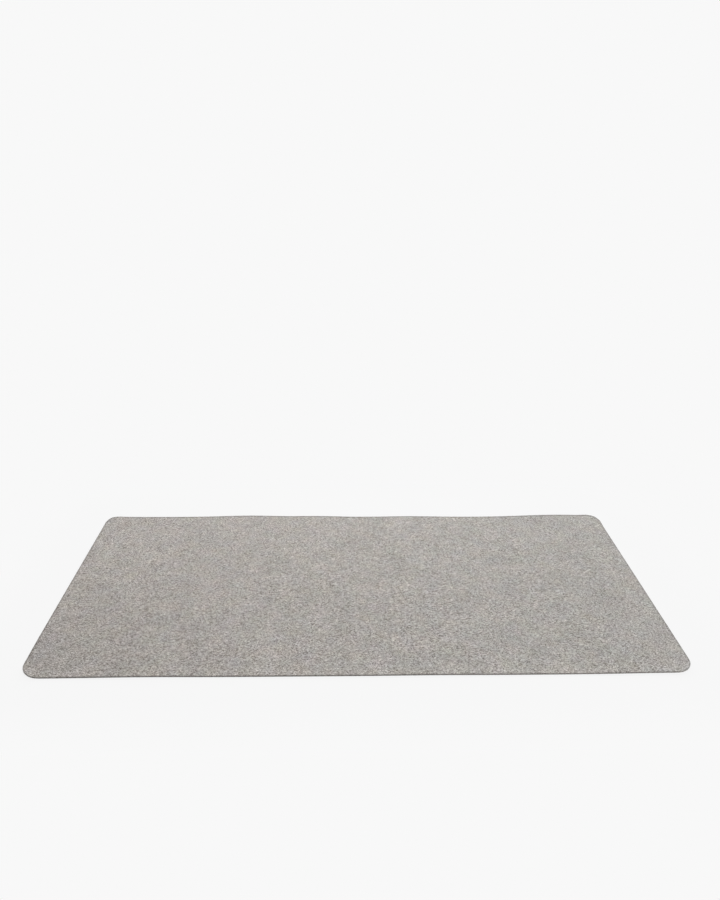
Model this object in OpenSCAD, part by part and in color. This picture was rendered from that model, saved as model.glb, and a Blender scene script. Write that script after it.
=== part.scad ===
// Wool felt desk mat: a die-cut felt sheet laminated to an anti-slip rubber base.
// Millimetres. +X runs left to right, +Y front to back, +Z up.
// The origin is on the desk, under the middle of the mat.

/* [Outline] */
// Length of the mat, left to right
mat_length = 900; // [500:5:1400]
// Depth of the mat, front to back
mat_depth = 400; // [250:5:800]
// Radius of the felt's four corners, seen from above
corner_radius = 25; // [10:1:100]

/* [Layers] */
// Thickness of the wool felt sheet
felt_thickness = 2.2; // [1.5:0.1:6]
// Thickness of the hot-melt film that bonds the felt to the base
film_thickness = 0.1; // [0.05:0.05:0.4]
// Thickness of the rubber base, with its grip texture
base_thickness = 0.7; // [0.4:0.1:3]

/* [Edges] */
// Radius of the felt's upper edge, where the cutting die has pressed it round
felt_edge_radius = 0.6; // [0.2:0.1:1.2]
// Distance that the rubber base stops short of the felt's edge
base_inset = 0.5; // [0.2:0.1:4]
// Distance that the bonding film stops short of the base's edge
film_inset = 1.5; // [0.2:0.1:4]

/* [Hidden] */
$fn = 96;

// Heights of the layers above the desk
film_z = base_thickness;
felt_z = film_z + film_thickness;

// How far each lower layer stops short of the felt's edge
film_margin = base_inset + film_inset;

// Height of the felt's upright cut face, below its rounded upper edge
cut_face_height = felt_thickness - felt_edge_radius;

// The mat's outline, drawn in by a margin all round so that every layer's corners share their centres
module mat_outline(margin = 0) {
    length = mat_length - 2 * margin;
    depth = mat_depth - 2 * margin;
    radius = corner_radius - margin;
    square([length - 2 * radius, depth], center = true);
    square([length, depth - 2 * radius], center = true);
    corner_places() circle(r = radius);
}

// Puts a copy of its child at the centre of each rounded corner
module corner_places() {
    for (x = [-1, 1], y = [-1, 1])
        translate([x * (mat_length / 2 - corner_radius), y * (mat_depth / 2 - corner_radius)])
            children();
}

// Quarter disc that rounds the felt's upper edge, in the first quadrant
module edge_section() {
    intersection() {
        circle(r = felt_edge_radius);
        square(felt_edge_radius);
    }
}

// One straight stretch of the rounded edge, along X, with its outer side towards -Y
module straight_edge(run) {
    rotate([90, 0, -90])
        linear_extrude(height = run, center = true)
            edge_section();
}

// The rounded upper edge, round the whole outline
module rounded_edge() {
    side_run = mat_depth - 2 * corner_radius;
    front_run = mat_length - 2 * corner_radius;
    for (turn = [0, 180]) {
        rotate(turn)
            translate([0, felt_edge_radius - mat_depth / 2, 0])
                straight_edge(front_run);
        rotate(turn + 90)
            translate([0, felt_edge_radius - mat_length / 2, 0])
                straight_edge(side_run);
    }
    corner_places()
        rotate_extrude()
            translate([corner_radius - felt_edge_radius, 0])
                edge_section();
}

// Wool felt: an upright cut face all round, and a rounded upper edge
module felt_sheet() {
    color([0.667, 0.651, 0.631])
        translate([0, 0, felt_z]) {
            linear_extrude(height = cut_face_height) mat_outline();
            translate([0, 0, cut_face_height]) rounded_edge();
            linear_extrude(height = felt_thickness) mat_outline(felt_edge_radius);
        }
}

// Hot-melt film, held back from the edge so that no glue shows
module bonding_film() {
    color([0.86, 0.84, 0.78])
        translate([0, 0, film_z])
            linear_extrude(height = film_thickness)
                mat_outline(film_margin);
}

// Anti-slip rubber sheet that lies on the desk
module grip_base() {
    color([0.17, 0.17, 0.17])
        linear_extrude(height = base_thickness)
            mat_outline(base_inset);
}

felt_sheet();
bonding_film();
grip_base();
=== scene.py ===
"""Felt desk mat: wool felt bonded to a rubber grip base, lying in shallow waves on a pale floor.

Metres throughout. +X runs left to right, +Y front to back, +Z up.
The origin is on the floor, under the middle of the mat.
"""
import math
from collections import namedtuple

import bpy
import numpy as np
from mathutils import Matrix, Vector, noise


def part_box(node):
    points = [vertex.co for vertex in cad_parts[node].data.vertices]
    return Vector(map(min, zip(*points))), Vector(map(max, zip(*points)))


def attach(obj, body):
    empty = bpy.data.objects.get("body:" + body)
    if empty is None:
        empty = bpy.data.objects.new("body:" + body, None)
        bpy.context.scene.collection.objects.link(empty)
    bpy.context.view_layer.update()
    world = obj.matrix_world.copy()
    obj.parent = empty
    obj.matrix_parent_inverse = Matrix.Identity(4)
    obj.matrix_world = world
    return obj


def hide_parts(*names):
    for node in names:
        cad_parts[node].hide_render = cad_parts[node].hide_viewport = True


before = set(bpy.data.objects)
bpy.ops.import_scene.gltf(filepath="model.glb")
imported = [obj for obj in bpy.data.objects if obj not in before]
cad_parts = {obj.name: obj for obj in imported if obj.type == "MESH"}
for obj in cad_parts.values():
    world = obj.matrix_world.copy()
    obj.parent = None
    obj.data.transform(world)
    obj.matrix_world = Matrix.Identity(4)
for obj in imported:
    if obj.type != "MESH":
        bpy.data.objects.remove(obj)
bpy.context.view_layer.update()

MM = 0.001

# Seed of the random draws and of the felt's lumps
SEED = 7

# Driving sizes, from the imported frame
FELT_LOW, FELT_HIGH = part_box("felt_sheet")
FILM_LOW, FILM_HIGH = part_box("bonding_film")
BASE_LOW, BASE_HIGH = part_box("grip_base")
HALF_X, HALF_Y = FELT_HIGH.x, FELT_HIGH.y
CORNER_RADIUS = 25 * MM

# How far the lower layers stop short of the felt's edge
FILM_MARGIN = HALF_X - FILM_HIGH.x
BASE_MARGIN = HALF_X - BASE_HIGH.x


# How the mat lies

# A long low wave, running from the mat's front edge to its back edge
Crest = namedtuple("Crest", "front_x back_x front_rise back_rise half_width")
CRESTS = (
    Crest(-285 * MM, -192 * MM, 0.9 * MM, 2.8 * MM, 70 * MM),
    Crest(-70 * MM, -70 * MM, 0.0 * MM, 1.7 * MM, 50 * MM),
    Crest(95 * MM, 100 * MM, 0.5 * MM, 1.3 * MM, 60 * MM),
    Crest(425 * MM, 375 * MM, 1.6 * MM, 4.4 * MM, 90 * MM),
    Crest(-470 * MM, -455 * MM, 1.0 * MM, 0.6 * MM, 45 * MM),
)

# A corner that curls up off the floor, and how far it is drawn aside in the plane of the mat
Curl = namedtuple("Curl", "corner_x corner_y rise reach aside_x aside_y", defaults=(0.0, 0.0))
CURLS = (
    Curl(-HALF_X, HALF_Y, 5.0 * MM, 32 * MM),
    Curl(HALF_X, HALF_Y, 3.9 * MM, 52 * MM),
    Curl(-HALF_X, -HALF_Y, 3.0 * MM, 34 * MM, 1.8 * MM, -1.1 * MM),
    Curl(HALF_X, -HALF_Y, 1.4 * MM, 40 * MM),
)

# Distance from a corner within which the mat is drawn aside
ASIDE_REACH = 80 * MM


def nearness(x, y, curl, reach):
    """1 at a curl's corner, falling smoothly to 0 at a reach from it."""
    away = np.hypot(x - curl.corner_x, y - curl.corner_y) / reach
    return np.clip(1 - away, 0, 1) ** 2


def lift(x, y):
    """Height of the mat's underside above the floor, where its waves and curls carry it."""
    back = (y + HALF_Y) / (2 * HALF_Y)
    height = np.zeros_like(x)
    for crest in CRESTS:
        middle = crest.front_x + (crest.back_x - crest.front_x) * back
        rise = crest.front_rise + (crest.back_rise - crest.front_rise) * back
        height += rise * np.exp(-(((x - middle) / crest.half_width) ** 2))
    for curl in CURLS:
        height += curl.rise * nearness(x, y, curl, curl.reach)
    return height


def settle(places):
    """Carries the points of a flat mat, an array of coordinates, to where the mat lies."""
    x, y = places[..., 0], places[..., 1]
    settled = places.copy()
    settled[..., 2] += lift(x, y)
    for curl in CURLS:
        share = nearness(x, y, curl, ASIDE_REACH)
        settled[..., 0] += share * curl.aside_x
        settled[..., 1] += share * curl.aside_y
    return settled


# Outlines and grids

# A rounded rectangle about the middle of the mat, and how many steps its sides are divided into
Panel = namedtuple("Panel", "columns rows half_x half_y radius")

# Depth within a panel over which the round corners of its grid square off
SQUARE_WITHIN = 60 * MM


def mat_panel(columns, rows, margin=0.0):
    """The mat's outline, drawn in by a margin so that every layer's corners share their centres."""
    return Panel(columns, rows, HALF_X - margin, HALF_Y - margin, CORNER_RADIUS - margin)


def side_point(step, steps, reach, out, radius):
    """A point on the front side of a rounded rectangle, and its outward normal.

    Steps run from the middle of the left corner's arc to the middle of the right one's.
    reach is half the side's length, and out how far it lies from the middle.
    """
    run = reach - radius
    along = (run + radius * math.pi / 4) * (2 * step / steps - 1)
    turn = max(0.0, abs(along) - run) / radius if radius > 0 else 0.0
    x = math.copysign(min(abs(along), run) + radius * math.sin(turn), along)
    y = radius * (1 - math.cos(turn)) - out
    return x, y, math.copysign(math.sin(turn), along), -math.cos(turn)


def outline_point(panel, turns, step):
    """A point and its normal on a panel's front, or on a side some quarter turns round from it."""
    if turns % 2:
        x, y, nx, ny = side_point(step, panel.rows, panel.half_y, panel.half_x, panel.radius)
    else:
        x, y, nx, ny = side_point(step, panel.columns, panel.half_x, panel.half_y, panel.radius)
    for _ in range(turns):
        x, y, nx, ny = -y, x, -ny, nx
    return x, y, nx, ny


def ring(panel):
    """Points and normals all round a panel, from its front-left corner."""
    made = []
    for turns in range(4):
        for step in range(panel.rows if turns % 2 else panel.columns):
            made.append(outline_point(panel, turns, step))
    return made


def grid_point(panel, i, j):
    """Where a point of a panel's grid lies: on one of the smaller, squarer panels nested in it."""
    columns, rows = panel.columns, panel.rows
    depth = min(i, columns - i, j, rows - j)
    half_x = panel.half_x * (1 - 2 * depth / columns)
    half_y = panel.half_y * (1 - 2 * depth / rows)
    radius = panel.radius * max(0.0, 1 - (panel.half_y - half_y) / SQUARE_WITHIN)
    nested = Panel(columns - 2 * depth, rows - 2 * depth, half_x, half_y, radius)
    if j == depth:
        turns, step = 0, i - depth
    elif j == rows - depth:
        turns, step = 2, columns - depth - i
    elif i == columns - depth:
        turns, step = 1, j - depth
    else:
        turns, step = 3, rows - depth - j
    return outline_point(nested, turns, step)[:2]


# Meshes and their maps

# Name of the attribute that holds where each point of a sheet lies when the mat is flat
FLAT_PLACE = "flat_place"

# Faces that meet at more than this angle have a sharp edge between them
SHARP_ANGLE = math.radians(50)

# Layout of a sheet's map, as bands from low to high: its shown face, its other face and its sides,
# which are the front, the right, the back and the left
MAP_NAME = "OFBake"
SHOWN_BAND = (0.12, 0.998)
HIDDEN_BAND = (0.06, 0.115)
SIDE_BANDS = ((0.004, 0.014), (0.017, 0.027), (0.030, 0.040), (0.043, 0.053))

# Least upward part of the normal of a face that isn't one of the sides
UPRIGHT_NORMAL = 0.5


def new_object(name, mesh, material):
    mesh.materials.append(material)
    piece = bpy.data.objects.new(name, mesh)
    bpy.context.collection.objects.link(piece)
    return piece


def add_sheet_map(mesh, flat, shown_up):
    """A map for baking, which lays the shown face of a sheet over most of the square."""
    corner_point = np.empty(len(mesh.loops), int)
    mesh.loops.foreach_get("vertex_index", corner_point)
    normal = np.empty(3 * len(mesh.polygons))
    mesh.polygons.foreach_get("normal", normal)
    corners = np.empty(len(mesh.polygons), int)
    mesh.polygons.foreach_get("loop_total", corners)
    nx, ny, nz = np.repeat(normal.reshape(-1, 3), corners, axis=0).T
    share = (flat - flat.min(axis=0)) / np.ptp(flat, axis=0)
    x, y, z = share[corner_point].T

    front, right, back, left = range(len(SIDE_BANDS))
    sideways = abs(nx) > abs(ny)
    side = np.where(sideways, np.where(nx > 0, right, left), np.where(ny > 0, back, front))
    bands = np.array(SIDE_BANDS)[side]
    u = np.where(sideways, y, x)
    v = z
    shown = nz if shown_up else -nz
    faces = ((shown > UPRIGHT_NORMAL, SHOWN_BAND), (-shown > UPRIGHT_NORMAL, HIDDEN_BAND))
    for is_face, band in faces:
        bands[is_face] = band
        u = np.where(is_face, x, u)
        v = np.where(is_face, y, v)
    v = bands[:, 0] + (bands[:, 1] - bands[:, 0]) * v
    mesh.uv_layers.new(name=MAP_NAME).data.foreach_set("uv", np.stack((u, v), axis=1).ravel())


def turned_on(points):
    """The points of a ring, each in the place of the one before it."""
    return points[1:] + points[:1]


class Surface:
    """Collects the points and faces of one sheet of a flat mat, and makes its mesh."""

    def __init__(self):
        self.points = []
        self.faces = []

    def add(self, x, y, z):
        self.points.append((x, y, z))
        return len(self.points) - 1

    def add_ring(self, outline, inset, z):
        """A ring of points, drawn in from an outline by an inset that may differ by point."""
        insets = np.broadcast_to(inset, len(outline))
        return [self.add(x - d * nx, y - d * ny, z) for (x, y, nx, ny), d in zip(outline, insets)]

    def fill(self, panel, z, cell=None, downward=False):
        """A panel filled with a grid. Returns the points round its edge, in a ring's order.

        cell, if given, makes the faces of one grid cell.
        """
        columns, rows = panel.columns, panel.rows
        at = {}
        for i in range(columns + 1):
            for j in range(rows + 1):
                at[i, j] = self.add(*grid_point(panel, i, j), z)
        for i in range(columns):
            for j in range(rows):
                corners = (at[i, j], at[i + 1, j], at[i + 1, j + 1], at[i, j + 1])
                if cell:
                    cell(self, corners)
                else:
                    self.faces.append(corners[::-1] if downward else corners)
        front = [at[i, 0] for i in range(columns)]
        right = [at[columns, j] for j in range(rows)]
        back = [at[i, rows] for i in range(columns, 0, -1)]
        left = [at[0, j] for j in range(rows, 0, -1)]
        return front + right + back + left

    def bridge(self, earlier, later):
        """Faces between two rings, where one may have twice as many points as the other."""
        if len(earlier) == len(later):
            self.faces.extend(zip(later, turned_on(later), turned_on(earlier), earlier))
            return
        fine, coarse = (earlier, later) if len(earlier) > len(later) else (later, earlier)
        spans = zip(fine[::2], fine[1::2], turned_on(fine[::2]), coarse, turned_on(coarse))
        for first, middle, last, near, far in spans:
            three = [(first, middle, near), (middle, far, near), (middle, last, far)]
            self.faces += [face[::-1] for face in three] if fine is earlier else three

    def bridge_all(self, rings):
        for earlier, later in zip(rings, rings[1:]):
            self.bridge(earlier, later)

    def make(self, name, material, relief=None, shown_up=True):
        """The finished mesh object, with every point carried to where the mat lies."""
        flat = np.array(self.points)
        places = settle(flat)
        if relief is not None:
            places[:, 2] += relief(flat)
        mesh = bpy.data.meshes.new(name)
        mesh.from_pydata(places.tolist(), [], self.faces)
        mesh.validate()
        mesh.shade_smooth()
        mesh.set_sharp_from_angle(angle=SHARP_ANGLE)
        flat_place = mesh.attributes.new(FLAT_PLACE, "FLOAT_VECTOR", "POINT")
        flat_place.data.foreach_set("vector", flat.ravel())
        add_sheet_map(mesh, flat, shown_up)
        return new_object(name, mesh, material)


# Shader nodes

# A noise: its waves to a metre, its layers of finer detail, and how strong those are
Grain = namedtuple("Grain", "scale detail roughness", defaults=(2.0, 0.5))

# A smooth step: a value that goes from low to high becomes one that goes from to_low to to_high
Step = namedtuple("Step", "low high to_low to_high", defaults=(0.0, 1.0))

# How strong and how deep the bumps are that a height makes
Bumps = namedtuple("Bumps", "strength depth")

# The value about which every noise swings, in each of its colours too
MIDDLE = 0.5
MIDDLE_GREY = (MIDDLE, MIDDLE, MIDDLE)
WHITE = (1, 1, 1)

# Height below which a distance seen from above takes no account of it
FLAT_BELOW = 1.0

# Numbers of a Mix node's sockets for colours
MIX_SHARE, MIX_FIRST, MIX_SECOND, MIX_RESULT = 0, 6, 7, 2


def add_node(tree, kind, inputs=None, **settings):
    """Adds a node, with its settings, and its inputs set or linked by name or number."""
    made = tree.nodes.new("ShaderNode" + kind)
    for name, value in settings.items():
        setattr(made, name, value)
    for name, value in (inputs or {}).items():
        if isinstance(value, bpy.types.NodeSocket):
            tree.links.new(value, made.inputs[name])
        else:
            made.inputs[name].default_value = value
    return made


def maths(tree, operation, *values):
    inputs = dict(enumerate(values))
    return add_node(tree, "Math", inputs, operation=operation).outputs[0]


def vector_maths(tree, operation, *values, result="Vector"):
    inputs = dict(enumerate(values))
    return add_node(tree, "VectorMath", inputs, operation=operation).outputs[result]


def mix_colour(tree, share, first, second, blend="MIX"):
    inputs = {MIX_SHARE: share, MIX_FIRST: first, MIX_SECOND: second}
    return add_node(tree, "Mix", inputs, data_type="RGBA", blend_type=blend).outputs[MIX_RESULT]


def shaded(tree, colour, shade):
    """A colour made darker or paler by a factor, or by one factor for each of its parts."""
    return mix_colour(tree, 1.0, colour, shade, "MULTIPLY")


def noise_texture(tree, place, grain, result="Fac"):
    scale, detail, roughness = grain
    inputs = {"Vector": place, "Scale": scale, "Detail": detail, "Roughness": roughness}
    return add_node(tree, "TexNoise", inputs).outputs[result]


def colour_ramp(tree, value, stops):
    """Runs through colours, given as pairs of place and colour, by a value from 0 to 1."""
    node = add_node(tree, "ValToRGB", {"Fac": value})
    ramp = node.color_ramp.elements
    while len(ramp) < len(stops):
        ramp.new(1.0)
    for element, (at, colour) in zip(ramp, stops):
        element.position = at
        element.color = colour
    return node.outputs["Color"]


def between(tree, value, step):
    """A value taken through a smooth step."""
    inputs = {
        "Value": value,
        "From Min": step.low,
        "From Max": step.high,
        "To Min": step.to_low,
        "To Max": step.to_high,
    }
    return add_node(tree, "MapRange", inputs, interpolation_type="SMOOTHSTEP").outputs["Result"]


def outside_by(tree, place, half_x, half_y):
    """Distance from a rectangle about the origin, seen from above, and 0 within it."""
    aside = vector_maths(tree, "ABSOLUTE", place)
    aside = vector_maths(tree, "SUBTRACT", aside, (half_x, half_y, FLAT_BELOW))
    aside = vector_maths(tree, "MAXIMUM", aside, (0, 0, 0))
    return vector_maths(tree, "LENGTH", aside, result="Value")


def new_material(name, constants):
    """A material with one Principled shader, whose constants are set on its own sockets."""
    material = bpy.data.materials.new(name)
    material.use_nodes = True
    tree = material.node_tree
    shader = tree.nodes["Principled BSDF"]
    for socket, value in constants.items():
        shader.inputs[socket].default_value = value
    place = add_node(tree, "TexCoord").outputs["Object"]
    return material, tree, shader, place


def dress(tree, shader, colour, roughness, height=None, bumps=None):
    """Gives a shader its colour and roughness and, where a height is given, its bumps."""
    tree.links.new(colour, shader.inputs["Base Color"])
    tree.links.new(roughness, shader.inputs["Roughness"])
    if height is not None:
        inputs = {"Height": height, "Strength": bumps.strength, "Distance": bumps.depth}
        tree.links.new(add_node(tree, "Bump", inputs).outputs[0], shader.inputs["Normal"])


# Colours, as linear red, green and blue

PALE_FLOOR = (0.939, 0.939, 0.939, 1)
FELT_BODY = (0.388, 0.361, 0.334, 1)
FIBRE_LIGHT = (0.754, 0.725, 0.690, 1)
FIBRE_DARK = (0.097, 0.079, 0.068, 1)
RUBBER_DARK = (0.021, 0.021, 0.022, 1)
RUBBER_PALE = (0.050, 0.049, 0.048, 1)
RUBBER_WORN = (0.105, 0.102, 0.098, 1)
FILM_CLEAR = (0.70, 0.67, 0.60, 1)
FILM_MILKY = (0.82, 0.80, 0.75, 1)


# Fibres of the felt

# Clumps and then bundles of fibres, paler or darker than the rest, each by how far it stands out
Bundle = namedtuple("Bundle", "angle length width contrast")
BUNDLES = (
    Bundle(0, 3.2 * MM, 1.55 * MM, 1.50),
    Bundle(30, 0.9 * MM, 0.75 * MM, 0.30),
    Bundle(10, 3.2 * MM, 0.42 * MM, 1.00),
    Bundle(54, 2.6 * MM, 0.38 * MM, 1.00),
    Bundle(168, 3.4 * MM, 0.40 * MM, 1.00),
    Bundle(120, 2.8 * MM, 0.36 * MM, 1.00),
    Bundle(75, 2.4 * MM, 0.15 * MM, 1.00),
    Bundle(160, 2.4 * MM, 0.15 * MM, 1.00),
    Bundle(25, 2.4 * MM, 0.16 * MM, 1.00),
)

# Single fibres, drawn where a noise passes its middle: positive ones are pale, negative ones dark
SingleFibre = namedtuple("SingleFibre", "angle length width tone")
SINGLE_FIBRES = (
    SingleFibre(32, 6.0 * MM, 0.60 * MM, 0.75),
    SingleFibre(85, 5.0 * MM, 0.55 * MM, -0.65),
    SingleFibre(142, 6.0 * MM, 0.70 * MM, 0.75),
    SingleFibre(0, 5.0 * MM, 0.60 * MM, -0.65),
)

# A single fibre's line, by how far the noise is from its middle
FIBRE_LINE = Step(0.0, 0.03, 1.0, 0.0)

# A streak's noise, which is scaled by the fibre's own size, and its depth in the sheet over its width
STREAK_GRAIN = Grain(1.0, 1.0)
STREAK_DEPTH = 1.6

# How far fibres stray from a straight line, over long and then over short stretches
Bend = namedtuple("Bend", "reach grain")
BENDS = (Bend(9 * MM, Grain(55.0, 1.0)), Bend(1.6 * MM, Grain(210.0, 1.0)))

# How far off each layer of fibres reads its bends
BEND_SHIFTS = (0.0, 0.37)

# The pile between the fibres, and the shares that bundles and single fibres add to its height
PILE_GRAIN = Grain(900.0)
BUNDLE_HEIGHT, LINE_HEIGHT = 0.5, 0.6


def fibre_streaks(tree, place, fibre, shift):
    """Noise drawn out along one direction in the sheet, high along the middle of a fibre."""
    inputs = {
        "Vector": place,
        "Location": (shift, 2 * shift, 3 * shift),
        "Rotation": (0, 0, math.radians(fibre.angle)),
        "Scale": (fibre.length, fibre.width, fibre.width * STREAK_DEPTH),
    }
    turned = add_node(tree, "Mapping", inputs, vector_type="TEXTURE").outputs[0]
    return noise_texture(tree, turned, STREAK_GRAIN)


def bent_place(tree, place, bend, shift):
    """A place in the sheet, moved aside by a slow noise that is read some way off."""
    there = vector_maths(tree, "ADD", place, (shift, shift, 0))
    aside = noise_texture(tree, there, bend.grain, "Color")
    aside = vector_maths(tree, "SUBTRACT", aside, MIDDLE_GREY)
    return vector_maths(tree, "MULTIPLY_ADD", aside, (bend.reach, bend.reach, 0), place)


def felt_fibres(tree, place):
    """Colour and height of the felt's fibres, every other layer of which bends its own way."""
    bent = []
    for shift in BEND_SHIFTS:
        there = place
        for bend in BENDS:
            there = bent_place(tree, there, bend, shift)
        bent.append(there)
    tone = MIDDLE - MIDDLE * sum(bundle.contrast for bundle in BUNDLES)
    height = noise_texture(tree, place, PILE_GRAIN)
    for number, bundle in enumerate(BUNDLES):
        streak = fibre_streaks(tree, bent[number % len(bent)], bundle, bundle.angle * MM)
        tone = maths(tree, "MULTIPLY_ADD", streak, bundle.contrast, tone)
        height = maths(tree, "MULTIPLY_ADD", streak, BUNDLE_HEIGHT, height)
    for number, fibre in enumerate(SINGLE_FIBRES):
        streak = fibre_streaks(tree, bent[number % len(bent)], fibre, -fibre.angle * MM)
        beside = maths(tree, "ABSOLUTE", maths(tree, "SUBTRACT", streak, MIDDLE))
        line = between(tree, beside, FIBRE_LINE)
        tone = maths(tree, "MULTIPLY_ADD", line, fibre.tone, tone)
        height = maths(tree, "MULTIPLY_ADD", line, LINE_HEIGHT, height)
    stops = ((0.0, FIBRE_DARK), (MIDDLE, FELT_BODY), (1.0, FIBRE_LIGHT))
    return colour_ramp(tree, tone, stops), height


# Clouding of the felt

# Patches of tint, and how far they move red, green and blue
TINT_GRAIN = Grain(42.0, 2.0, 0.6)
TINT_RANGE = (0.14, 0.05, 0.18)

# The slight drift of tint from the left end to the right end
DRIFT = Step(-HALF_X, HALF_X)
WARM_END, COOL_END = (1.012, 1.0, 0.998, 1), (0.988, 1.0, 1.002, 1)

# Patches that are darker or paler
CLOUD_GRAIN = Grain(20.0, 4.0, 0.7)
CLOUD_DEPTH = Step(0.2, 0.8, 0.908, 1.092)

# Painted shade: the felt darkened towards its front-left end, by the distance from that corner
PAINTED_SHADE_CORNER = (-HALF_X, -HALF_Y, 0)
PAINTED_SHADE_FALLOFF = Step(0.0, 320 * MM, 0.916, 1.0)


def felt_clouds(tree, place, colour):
    """The slow clouding of the sheet, where the wool was mixed unevenly, in tint and in depth, and
    painted shade that darkens its front-left end.
    """
    tint = noise_texture(tree, place, TINT_GRAIN, "Color")
    tint = vector_maths(tree, "SUBTRACT", tint, MIDDLE_GREY)
    tint = vector_maths(tree, "MULTIPLY_ADD", tint, TINT_RANGE, WHITE)
    colour = shaded(tree, colour, tint)
    along = add_node(tree, "SeparateXYZ", {0: place}).outputs["X"]
    colour = shaded(tree, colour, mix_colour(tree, between(tree, along, DRIFT), WARM_END, COOL_END))
    cloud = noise_texture(tree, place, CLOUD_GRAIN)
    # Painted shade, darker towards the front-left corner
    away = vector_maths(tree, "DISTANCE", place, PAINTED_SHADE_CORNER, result="Value")
    depth = between(tree, cloud, CLOUD_DEPTH)
    depth = maths(tree, "MULTIPLY", depth, between(tree, away, PAINTED_SHADE_FALLOFF))
    return shaded(tree, colour, depth), cloud


# Edges of the felt

# The front that wrists rub paler, by the place from front to back
RUBBED_REACH = 24 * MM
RUBBED = Step(RUBBED_REACH - HALF_Y, -HALF_Y, 1.0, 1.07)

# Painted shade along the rim: a darker band, by the distance from the corners' centres.
# It is read a little further back than it lies, so that it is widest along the back.
PAINTED_RIM_SHADE = Step(CORNER_RADIUS - 3.4 * MM, CORNER_RADIUS - 1.0 * MM, 1.0, 0.69)
PAINTED_RIM_SHADE_SHIFT = (0, 1.6 * MM, 0)

# The cut face, by how far up its normal points
UNCUT = Step(0.15, 0.85)
# Painted shade: the factor that darkens the cut face, which faces away from the light from above
PAINTED_CUT_FACE_SHADE = 0.64

# The size and noise of a cut face's flecks, and the values at which they are darkest and palest
CUT_FLECK = (1.3 * MM, 1.3 * MM, 0.17 * MM)
CUT_GRAIN = Grain(1.0, 2.0, 0.6)
CUT_DARK, CUT_LIGHT = 0.28, 0.74

# Darker and paler stretches of a cut face
CUT_CLUMP_GRAIN = Grain(480.0, 1.0)
CUT_CLUMP = Step(0.25, 0.75, 0.50, 1.50)


def cut_face_colour(tree, place):
    """The thin layers of fibres that a cut through the sheet lays bare, darkened by painted shade."""
    inputs = {"Vector": place, "Scale": CUT_FLECK}
    layers = add_node(tree, "Mapping", inputs, vector_type="TEXTURE").outputs[0]
    tone = noise_texture(tree, layers, CUT_GRAIN)
    stops = ((CUT_DARK, FIBRE_DARK), (MIDDLE, FELT_BODY), (CUT_LIGHT, FIBRE_LIGHT))
    clump = between(tree, noise_texture(tree, place, CUT_CLUMP_GRAIN), CUT_CLUMP)
    return shaded(tree, colour_ramp(tree, tone, stops), maths(tree, "MULTIPLY", clump, PAINTED_CUT_FACE_SHADE))


def felt_edge(tree, place, colour):
    """The edges: a front that wrists rub paler, and painted shade, darker along the rim and on the cut
    face.
    """
    flat = add_node(tree, "Attribute", attribute_name=FLAT_PLACE).outputs["Vector"]
    across = add_node(tree, "SeparateXYZ", {0: flat}).outputs["Y"]
    colour = shaded(tree, colour, between(tree, across, RUBBED))
    # Painted shade: a darker band along the rim, widest along the back
    shifted = vector_maths(tree, "ADD", flat, PAINTED_RIM_SHADE_SHIFT)
    run = outside_by(tree, shifted, HALF_X - CORNER_RADIUS, HALF_Y - CORNER_RADIUS)
    colour = shaded(tree, colour, between(tree, run, PAINTED_RIM_SHADE))
    # Faces that don't point up take the cut face's colour, with its painted shade
    normal = add_node(tree, "NewGeometry").outputs["Normal"]
    upward = add_node(tree, "SeparateXYZ", {0: normal}).outputs["Z"]
    return mix_colour(tree, between(tree, upward, UNCUT), cut_face_colour(tree, place), colour)


# Materials

FELT_CONSTANTS = {
    "Specular IOR Level": 0.2,
    "Sheen Weight": 0.25,
    "Sheen Roughness": 0.6,
    "Sheen Tint": (0.9, 0.88, 0.85, 1),
}
FELT_ROUGHNESS = Step(0.3, 0.7, 0.92, 1.0)
FELT_BUMPS = Bumps(0.7, 0.06 * MM)


def felt_material():
    """Wool felt: light and dark fibres that lie every way in the sheet, and a cut edge darkened by
    painted shade.
    """
    material, tree, shader, place = new_material("wool_felt_surface", FELT_CONSTANTS)
    colour, height = felt_fibres(tree, place)
    colour, cloud = felt_clouds(tree, place, colour)
    colour = felt_edge(tree, place, colour)
    dress(tree, shader, colour, between(tree, cloud, FELT_ROUGHNESS), height, FELT_BUMPS)
    return material


LOOSE_FIBRE_CONSTANTS = {"Specular IOR Level": 0.25, "Sheen Weight": 0.2, "Sheen Roughness": 0.5}
LOOSE_FIBRE_DUST = Grain(800.0)
LOOSE_FIBRE_SHADE = Step(0.3, 0.7, 0.85, 1.1)
LOOSE_FIBRE_ROUGHNESS = Step(0.3, 0.7, 0.7, 0.95)

# Share of the loose fibres that are darker than the felt's body
DARK_FIBRE_SHARE = 0.35


def fibre_material():
    """Loose wool fibres, each of its own tone, paler where they catch dust."""
    material, tree, shader, place = new_material("loose_fibre_surface", LOOSE_FIBRE_CONSTANTS)
    tone = add_node(tree, "NewGeometry").outputs["Random Per Island"]
    stops = ((0.0, FIBRE_DARK), (DARK_FIBRE_SHARE, FELT_BODY), (1.0, FIBRE_LIGHT))
    dust = noise_texture(tree, place, LOOSE_FIBRE_DUST)
    colour = shaded(tree, colour_ramp(tree, tone, stops), between(tree, dust, LOOSE_FIBRE_SHADE))
    dress(tree, shader, colour, between(tree, dust, LOOSE_FIBRE_ROUGHNESS))
    return material


RUBBER_CONSTANTS = {"Specular IOR Level": 0.35}
RUBBER_GRAIN = Grain(1400.0, 3.0, 0.6)
RUBBER_BUMPS = Bumps(0.5, 0.05 * MM)
RUBBER_DUST_GRAIN = Grain(70.0, 4.0, 0.65)
RUBBER_DUST = Step(0.35, 0.75)
RUBBER_ROUGHNESS = Step(0.3, 0.7, 0.68, 0.9)

# Wear of the rubber, by how sharp the surface is there and by its grain
WORN_EDGE = Step(0.51, 0.60)
WORN_GRAIN = Step(0.35, 0.65)


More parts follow.
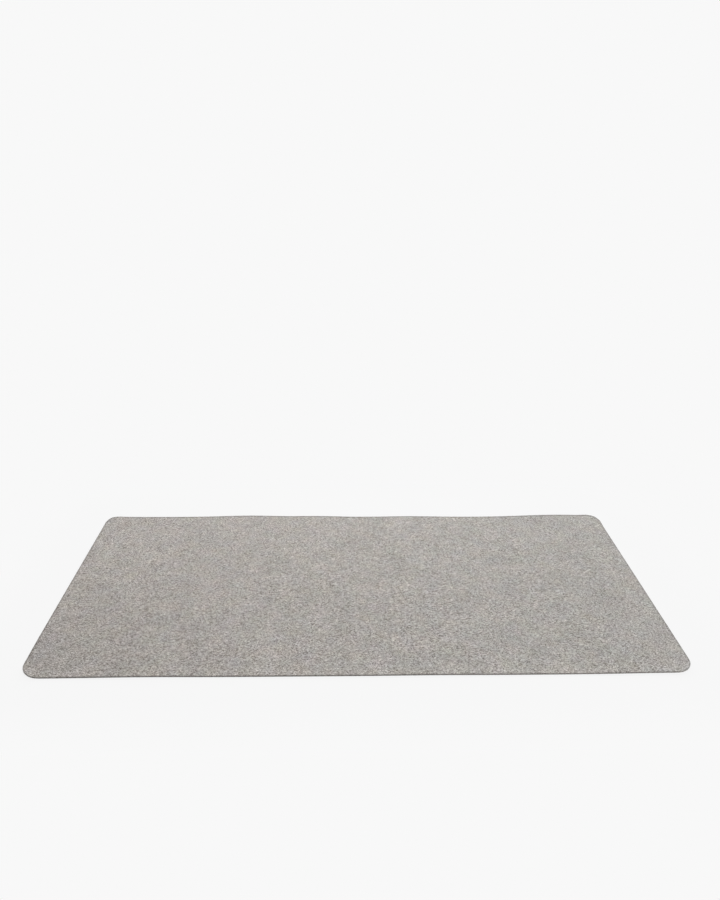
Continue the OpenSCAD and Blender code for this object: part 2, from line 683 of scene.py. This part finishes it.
def rubber_material():
    """Charcoal rubber with a fine moulded grain, dusty in places and rubbed pale along its edges."""
    material, tree, shader, place = new_material("grip_rubber_surface", RUBBER_CONSTANTS)
    grain = noise_texture(tree, place, RUBBER_GRAIN)
    dust = noise_texture(tree, place, RUBBER_DUST_GRAIN)
    colour = mix_colour(tree, between(tree, dust, RUBBER_DUST), RUBBER_DARK, RUBBER_PALE)
    sharpness = add_node(tree, "NewGeometry").outputs["Pointiness"]
    worn = maths(tree, "MULTIPLY", between(tree, sharpness, WORN_EDGE), between(tree, grain, WORN_GRAIN))
    colour = mix_colour(tree, worn, colour, RUBBER_WORN)
    dress(tree, shader, colour, between(tree, dust, RUBBER_ROUGHNESS), grain, RUBBER_BUMPS)
    return material


FILM_CONSTANTS = {"Specular IOR Level": 0.4}
FILM_WEB_GRAIN = Grain(420.0, 4.0, 0.7)
FILM_WEB = Step(0.4, 0.65)
FILM_ROUGHNESS = Step(0.35, 0.7, 0.35, 0.6)
FILM_BUMPS = Bumps(0.4, 0.03 * MM)


def film_material():
    """Milky hot-melt film, with the web of strands that it melts from."""
    material, tree, shader, place = new_material("hot_melt_surface", FILM_CONSTANTS)
    web = noise_texture(tree, place, FILM_WEB_GRAIN)
    colour = mix_colour(tree, between(tree, web, FILM_WEB), FILM_CLEAR, FILM_MILKY)
    dress(tree, shader, colour, between(tree, web, FILM_ROUGHNESS), web, FILM_BUMPS)
    return material


# The felt sheet

FELT_COLUMNS, FELT_ROWS = 296, 130

# How far the upper face's grid stops short of the outline
FELT_MARGIN = 3.1 * MM

# The rounded rim, with the turns at which it has a ring of points, in degrees
EDGE_RADIUS = 0.6 * MM
EDGE_TURNS = (22.5, 45.0, 67.5, 90.0)

# The cut face: its rings of points, how far it stands in and out, and over what lengths
CUT_LEVELS = 5
CUT_ROUGHNESS = 0.12 * MM
CUT_LUMP = (2.4 * MM, 2.4 * MM, 0.8 * MM)

# How far the cut face's lower edge is broken
LOWER_EDGE = 0.15 * MM

# How far the underside's outer ring and its grid stop short of the outline
UNDERSIDE_RIM, UNDERSIDE_MARGIN = 3 * MM, 9 * MM

# Soft lumps in the upper face: how high, how far across, and which slice of the noise they follow
Lump = namedtuple("Lump", "height across slice")
LUMPS = (Lump(0.05 * MM, 14 * MM, SEED), Lump(0.03 * MM, 7 * MM, SEED + 3))

# The felt's outline, with twice as many steps as its upper face's grid
FELT_OUTLINE = mat_panel(2 * FELT_COLUMNS, 2 * FELT_ROWS)


def felt_relief(places):
    """Soft lumps in the felt's upper face, which fade out down its cut face."""
    rises = []
    for x, y, _ in places:
        spots = [Vector((x / lump.across, y / lump.across, lump.slice)) for lump in LUMPS]
        rises.append(sum(lump.height * noise.noise(spot) for lump, spot in zip(LUMPS, spots)))
    share = (places[:, 2] - FELT_LOW.z) / (FELT_HIGH.z - FELT_LOW.z)
    return np.array(rises) * np.clip(share, 0, 1)


def cut_insets(outline, z):
    """How far in the rough cut face lies from each point of an outline, at one height."""
    along_x, along_y, upright = CUT_LUMP
    spots = [Vector((x / along_x, y / along_y, z / upright)) for x, y, _, _ in outline]
    return [CUT_ROUGHNESS * noise.noise(spot) for spot in spots]


def rim_levels(outline):
    """Insets and heights of the felt's rings, down its rounded rim and its cut face."""
    levels = [(EDGE_RADIUS, FELT_HIGH.z)]
    for turn in map(math.radians, EDGE_TURNS):
        inset = EDGE_RADIUS * (1 - math.sin(turn))
        z = FELT_HIGH.z - EDGE_RADIUS * (1 - math.cos(turn))
        levels.append(([inset + d for d in cut_insets(outline, z)], z))
    cut_high, cut_low = FELT_HIGH.z - EDGE_RADIUS, FELT_LOW.z + LOWER_EDGE
    for level in range(1, CUT_LEVELS + 1):
        z = cut_high + (cut_low - cut_high) * level / CUT_LEVELS
        levels.append((cut_insets(outline, z), z))
    levels.append((LOWER_EDGE, FELT_LOW.z))
    return levels


def build_felt(material):
    """The felt sheet: a lumpy upper face, a rounded rim, a rough cut face and a flat underside."""
    surface = Surface()
    outline = ring(FELT_OUTLINE)
    rings = [surface.fill(mat_panel(FELT_COLUMNS, FELT_ROWS, FELT_MARGIN), FELT_HIGH.z)]
    for inset, z in rim_levels(outline):
        rings.append(surface.add_ring(outline, inset, z))
    rings.append(surface.add_ring(outline[::2], UNDERSIDE_RIM, FELT_LOW.z))
    underside = mat_panel(FELT_COLUMNS // 2, FELT_ROWS // 2, UNDERSIDE_MARGIN)
    rings.append(surface.fill(underside, FELT_LOW.z, downward=True))
    surface.bridge_all(rings)
    return surface.make("felt", material, felt_relief)


# Loose fibres that stand off the felt, as thin tubes

FIBRE_RADIUS = 0.022 * MM
FIBRE_SIDES = 3

# Width of a fibre's tip over that of its root, and how deep its root sits in the felt
FIBRE_TIP = 0.4
FIBRE_ROOT = 0.12 * MM

# Layout of a fibre's own cell in the map: its tube, and the corners of its two end caps
CELL_TUBE_LEFT, CELL_TUBE_RIGHT, CELL_TUBE_LOW, CELL_TUBE_HIGH = 0.06, 0.84, 0.06, 0.94
CELL_CAPS = (((0.88, 0.10), (0.96, 0.10), (0.88, 0.45)), ((0.88, 0.55), (0.96, 0.55), (0.88, 0.90)))


def add_fibre_map(mesh, count, points):
    """A map for baking, in which each fibre has a cell of its own."""
    cells = math.ceil(math.sqrt(count))
    cell = np.stack((np.arange(count) % cells, np.arange(count) // cells), axis=1)
    run = (np.arange(points - 1)[:, None, None] + np.array((0, 0, 1, 1))) / (points - 1)
    turn = (np.arange(FIBRE_SIDES)[:, None] + np.array((0, 1, 1, 0))) / FIBRE_SIDES
    u = CELL_TUBE_LEFT + (CELL_TUBE_RIGHT - CELL_TUBE_LEFT) * run
    v = CELL_TUBE_LOW + (CELL_TUBE_HIGH - CELL_TUBE_LOW) * turn
    tube_map = np.stack(np.broadcast_arrays(u, v), axis=-1).reshape(1, -1, 2)
    cap_map = np.array(CELL_CAPS).reshape(1, -1, 2)
    corner_map = [((cell[:, None] + part) / cells).reshape(-1, 2) for part in (tube_map, cap_map)]
    mesh.uv_layers.new(name=MAP_NAME).data.foreach_set("uv", np.concatenate(corner_map).ravel())


def build_fibres(name, paths, material, draws):
    """A mesh of tubes along paths, an array of fibres by points by coordinates."""
    count, points, _ = paths.shape
    paths = settle(paths)
    along = np.gradient(paths, axis=1)
    along /= np.linalg.norm(along, axis=2, keepdims=True)
    across = np.cross(along, draws.normal(size=(count, 1, 3)))
    across /= np.linalg.norm(across, axis=2, keepdims=True)
    third = np.cross(along, across)
    angle = 2 * math.pi * np.arange(FIBRE_SIDES)[:, None] / FIBRE_SIDES
    around = np.cos(angle) * across[:, :, None] + np.sin(angle) * third[:, :, None]
    radius = FIBRE_RADIUS * np.linspace(1, FIBRE_TIP, points)[:, None, None]
    places = (paths[:, :, None] + radius * around).reshape(-1, 3)

    index = np.arange(len(places)).reshape(count, points, FIBRE_SIDES)
    after = np.roll(index, -1, axis=2)
    tubes = np.stack((index[:, :-1], after[:, :-1], after[:, 1:], index[:, 1:]), axis=-1)
    caps = np.stack((index[:, 0, ::-1], index[:, -1]), axis=1)
    faces = tubes.reshape(-1, 4).tolist() + caps.reshape(-1, FIBRE_SIDES).tolist()
    mesh = bpy.data.meshes.new(name)
    mesh.from_pydata(places.tolist(), [], faces)
    mesh.shade_smooth()
    add_fibre_map(mesh, count, points)
    return new_object(name, mesh, material)


EDGE_FIBRES = 7000
EDGE_FIBRE_POINTS = 5
EDGE_FIBRE_SHORT, EDGE_FIBRE_SPREAD = 0.4 * MM, 1.4 * MM

# How far edge fibres lean along the edge and tilt up or down, over how far they stand out
EDGE_LEAN, EDGE_TILT = 0.8, 0.4

# How far their ends bend along the edge, differ in height and droop, over their length
EDGE_BEND, EDGE_DIP, EDGE_DROOP = 0.5, 0.2, 0.25


def edge_fibre_paths(draws):
    """Short fibres that stand out of the cut face all round, and droop a little."""
    outline = np.array(ring(FELT_OUTLINE))
    chosen = outline[draws.integers(len(outline), size=EDGE_FIBRES)]
    outward = np.pad(chosen[:, 2:], ((0, 0), (0, 1)))
    sideways = np.stack((-chosen[:, 3], chosen[:, 2], 0 * chosen[:, 2]), axis=1)
    upward = np.array((0, 0, 1))
    spacing = 2 * HALF_X / FELT_OUTLINE.columns
    shift = draws.uniform(-0.5, 0.5, size=(EDGE_FIBRES, 1)) * spacing
    height = draws.uniform(FELT_LOW.z, FELT_HIGH.z - EDGE_RADIUS / 2, size=EDGE_FIBRES)
    root = np.column_stack((chosen[:, :2], height)) + shift * sideways - FIBRE_ROOT * outward

    lean, tilt, bend, dip = draws.normal(size=(4, EDGE_FIBRES, 1))
    heading = outward + EDGE_LEAN * lean * sideways + EDGE_TILT * tilt * upward
    heading /= np.linalg.norm(heading, axis=1, keepdims=True)
    turning = EDGE_BEND * bend * sideways + (EDGE_DIP * dip - EDGE_DROOP) * upward
    length = EDGE_FIBRE_SHORT + EDGE_FIBRE_SPREAD * draws.uniform(size=(EDGE_FIBRES, 1)) ** 2
    t = np.linspace(0, 1, EDGE_FIBRE_POINTS)[:, None]
    paths = root[:, None] + (length * heading)[:, None] * t + (length * turning)[:, None] * t ** 2
    paths[:, :, 2] = np.maximum(paths[:, :, 2], BASE_LOW.z + 2 * FIBRE_RADIUS)
    return paths


TOP_FIBRES = 9000
TOP_FIBRE_POINTS = 4
TOP_FIBRE_SHORT, TOP_FIBRE_SPREAD = 1.2 * MM, 3.6 * MM

# How high top fibres rise, how far they bend over their length, and the share that goes back down
TOP_FIBRE_LOW, TOP_FIBRE_SPAN = 0.08 * MM, 0.35 * MM
TOP_FIBRE_BEND = 0.35
LOOPED_SHARE = 0.6

# How steeply a fibre comes out of the felt at its root
ROOT_STEEPNESS = 4


def top_fibre_paths(draws):
    """Fibres that lie on the felt's face in low loops, or end a little above it."""
    margin = TOP_FIBRE_SHORT + TOP_FIBRE_SPREAD
    corner_x, corner_y = HALF_X - CORNER_RADIUS, HALF_Y - CORNER_RADIUS
    reach = np.array((HALF_X - margin, HALF_Y - margin))
    root = draws.uniform(-1, 1, size=(2 * TOP_FIBRES, 2)) * reach
    away = np.hypot(*np.clip(abs(root) - (corner_x, corner_y), 0, None).T)
    root = root[away < CORNER_RADIUS - margin][:TOP_FIBRES]

    angle = draws.uniform(0, 2 * math.pi, size=TOP_FIBRES)
    heading = np.stack((np.cos(angle), np.sin(angle)), axis=1)
    sideways = np.stack((-np.sin(angle), np.cos(angle)), axis=1)
    length = TOP_FIBRE_SHORT + TOP_FIBRE_SPREAD * draws.uniform(size=(TOP_FIBRES, 1, 1)) ** 2
    bend = TOP_FIBRE_BEND * draws.normal(size=(TOP_FIBRES, 1, 1))
    t = np.linspace(0, 1, TOP_FIBRE_POINTS)[:, None]
    flat = root[:, None] + length * (heading[:, None] * t + bend * sideways[:, None] * t ** 2)
    rise = TOP_FIBRE_LOW + TOP_FIBRE_SPAN * draws.uniform(size=(TOP_FIBRES, 1)) ** 2
    looped = draws.uniform(size=(TOP_FIBRES, 1)) < LOOPED_SHARE
    t = t[:, 0]
    hump = np.where(looped, np.sin(math.pi * t), np.sin(math.pi / 2 * t))
    from_end = np.where(looped, 2 * t - 1, 1 - t)
    return np.dstack((flat, FELT_HIGH.z + rise * hump - FIBRE_ROOT * from_end ** ROOT_STEEPNESS))


# The bonding film

FILM_COLUMNS, FILM_ROWS = 150, 66


def build_film(material):
    """The bonding film between felt and base, a thin sheet with square edges."""
    surface = Surface()
    panel = mat_panel(FILM_COLUMNS, FILM_ROWS, FILM_MARGIN)
    upper = surface.fill(panel, FILM_HIGH.z)
    lower = surface.fill(panel, FILM_LOW.z, downward=True)
    surface.bridge(upper, lower)
    return surface.make("film", material)


# The rubber base

# The grip's pads: how many there are each way, how far they stand down and how far they taper
PAD_COLUMNS, PAD_ROWS = 176, 76
PAD_HEIGHT = 0.25 * MM
PAD_SLOPE = 0.4 * MM

# How far the field of pads stops short of the base's edge, and how far that edge is rounded
PAD_MARGIN = 9 * MM
BASE_EDGE_ROUND = 0.1 * MM


def grip_pad(surface, corners):
    """One cell of the grip pattern: a square pad that stands down between grooves."""
    ground = [Vector(surface.points[corner]) for corner in corners]
    middle = sum(ground, Vector()) / len(ground)
    tip = []
    for corner in ground:
        inward = (middle - corner).normalized() * PAD_SLOPE * math.sqrt(2)
        tip.append(surface.add(*(corner + inward - Vector((0, 0, PAD_HEIGHT)))))
    for side in range(4):
        after = (side + 1) % 4
        surface.faces.append((tip[side], tip[after], corners[after], corners[side]))
    surface.faces.append(tip[::-1])


def build_base(material):
    """The rubber base: a sheet with rounded edges, and a square field of pads within a plain rim."""
    surface = Surface()
    sheet_low = BASE_LOW.z + PAD_HEIGHT
    outline = ring(mat_panel(2 * PAD_COLUMNS, 2 * PAD_ROWS, BASE_MARGIN))
    pad_field = mat_panel(PAD_COLUMNS, PAD_ROWS, BASE_MARGIN + PAD_MARGIN)._replace(radius=0.0)
    surface.bridge_all([
        surface.fill(pad_field, BASE_HIGH.z),
        surface.add_ring(outline, BASE_EDGE_ROUND, BASE_HIGH.z),
        surface.add_ring(outline, 0.0, BASE_HIGH.z - BASE_EDGE_ROUND),
        surface.add_ring(outline, 0.0, sheet_low + BASE_EDGE_ROUND),
        surface.add_ring(outline, BASE_EDGE_ROUND, sheet_low),
        surface.fill(pad_field, sheet_low, cell=grip_pad),
    ])
    return surface.make("rubber_base", material, shown_up=False)


# Stage

# The photograph's camera, whose focal length is in pixels of an image of this height
IMAGE_HEIGHT = 900
FOCAL_LENGTH_PIXELS = 683.1
CAMERA_PLACE = (-30.5 * MM, -883.4 * MM, 661.8 * MM)
CAMERA_PITCH = math.radians(25.71)
CAMERA_YAW = math.radians(1.96)
CAMERA_ROLL = math.radians(0.99)
NEAR_CLIP = 10 * MM

# The sensor's longer side, in millimetres
SENSOR = 36.0


def add_camera():
    data = bpy.data.cameras.new("camera")
    data.sensor_width = SENSOR
    data.lens = FOCAL_LENGTH_PIXELS * SENSOR / IMAGE_HEIGHT
    data.clip_start = NEAR_CLIP
    camera = bpy.data.objects.new("camera", data)
    camera.matrix_world = (
        Matrix.Translation(CAMERA_PLACE)
        @ Matrix.Rotation(-CAMERA_YAW, 4, "Z")
        @ Matrix.Rotation(math.pi / 2 - CAMERA_PITCH, 4, "X")
        @ Matrix.Rotation(CAMERA_ROLL, 4, "Z")
    )
    bpy.context.collection.objects.link(camera)
    bpy.context.scene.camera = camera


def seen_directly(tree):
    """1 for rays from the camera, and for reflections and glass that show the background."""
    path = add_node(tree, "LightPath").outputs
    share = maths(tree, "MAXIMUM", path["Is Camera Ray"], path["Is Glossy Ray"])
    return maths(tree, "MAXIMUM", share, path["Is Transmission Ray"])


WORLD_LIGHT = 0.45
WORLD_COLOUR = (1, 1, 1, 1)


def add_world():
    """An even white light all round, which shows as the floor's colour."""
    world = bpy.data.worlds.new("studio")
    bpy.context.scene.world = world
    world.use_nodes = True
    tree = world.node_tree
    tree.nodes.clear()
    shown = add_node(tree, "Background", {"Color": PALE_FLOOR, "Strength": 1.0}).outputs[0]
    lighting = add_node(tree, "Background", {"Color": WORLD_COLOUR, "Strength": WORLD_LIGHT}).outputs[0]
    mixed = add_node(tree, "MixShader", {0: seen_directly(tree), 1: lighting, 2: shown}).outputs[0]
    add_node(tree, "OutputWorld", {"Surface": mixed})


# How bright the sun makes a white floor, its height, its bearing to the right of the back, its breadth
SUN_LEVEL = 0.288
SUN_HEIGHT = math.radians(55)
SUN_BEARING = math.radians(35)
SUN_SOFTNESS = math.radians(50)


def add_sun():
    """A broad soft light from behind and to the right."""
    data = bpy.data.lights.new("soft_key", "SUN")
    data.energy = SUN_LEVEL * math.pi / math.sin(SUN_HEIGHT)
    data.angle = SUN_SOFTNESS
    sun = bpy.data.objects.new("soft_key", data)
    towards = Vector((
        math.cos(SUN_HEIGHT) * math.sin(SUN_BEARING),
        math.cos(SUN_HEIGHT) * math.cos(SUN_BEARING),
        math.sin(SUN_HEIGHT),
    ))
    sun.rotation_euler = towards.to_track_quat("Z", "Y").to_euler()
    bpy.context.collection.objects.link(sun)


# Soft round lamps. Each one's level is how bright it makes a white surface that faces it at its aim
SoftBox = namedtuple("SoftBox", "name place aim size level")
SOFT_BOXES = (
    SoftBox("back_box", Vector((0.15, 1.14, 0.60)), Vector((0.0, 0.1, 0.0)), 0.7, 0.473),
    SoftBox("low_fill", Vector((0.75, -0.75, 0.12)), Vector((0.30, -0.20, 0.0)), 0.2, 0.25),
)


def add_soft_box(box):
    data = bpy.data.lights.new(box.name, "AREA")
    data.shape = "DISK"
    data.size = box.size
    away = box.place - box.aim
    data.energy = box.level * math.pi ** 2 * away.length_squared
    lamp = bpy.data.objects.new(box.name, data)
    lamp.location = box.place
    lamp.rotation_euler = away.to_track_quat("Z", "Y").to_euler()
    bpy.context.collection.objects.link(lamp)


# Half the floor's width
FLOOR_REACH = 30.0

# The share of the real shadow that shows on the floor, by the distance from the mat
SHADOW = Step(30 * MM, 120 * MM, 0.07, 0.0)


def add_floor():
    """A pale floor that shows the background's colour and keeps the mat's soft shadow."""
    material = bpy.data.materials.new("pale_floor")
    material.use_nodes = True
    tree = material.node_tree
    tree.nodes.clear()
    matt = add_node(tree, "BsdfDiffuse", {"Color": PALE_FLOOR}).outputs[0]
    glow = add_node(tree, "Emission", {"Color": PALE_FLOOR, "Strength": 1.0}).outputs[0]
    place = add_node(tree, "TexCoord").outputs["Object"]
    shadow = between(tree, outside_by(tree, place, HALF_X, HALF_Y), SHADOW)
    glowing = maths(tree, "MULTIPLY", seen_directly(tree), maths(tree, "SUBTRACT", 1.0, shadow))
    mixed = add_node(tree, "MixShader", {0: glowing, 1: matt, 2: glow}).outputs[0]
    add_node(tree, "OutputMaterial", {"Surface": mixed})
    mesh = bpy.data.meshes.new("floor")
    signs = ((-1, -1), (1, -1), (1, 1), (-1, 1))
    corners = [(sx * FLOOR_REACH, sy * FLOOR_REACH, 0) for sx, sy in signs]
    mesh.from_pydata(corners, [], [(0, 1, 2, 3)])
    floor = new_object("floor", mesh, material)


bpy.context.scene.view_settings.view_transform = "Standard"
add_camera()
add_world()
add_sun()
for box in SOFT_BOXES:
    add_soft_box(box)
add_floor()

draws = np.random.default_rng(SEED)
loose_fibre = fibre_material()
felt = build_felt(felt_material())
edge_fibres = build_fibres("edge_fibres", edge_fibre_paths(draws), loose_fibre, draws)
top_fibres = build_fibres("top_fibres", top_fibre_paths(draws), loose_fibre, draws)
film = build_film(film_material())
base = build_base(rubber_material())
for piece, node, slot in (
    (felt, "felt_sheet", "wool_felt"),
    (edge_fibres, None, "wool_felt"),
    (top_fibres, None, "wool_felt"),
    (film, "bonding_film", "hot_melt_film"),
    (base, "grip_base", "grip_rubber"),
):
    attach(piece, "root")
    if node:
        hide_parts(node)
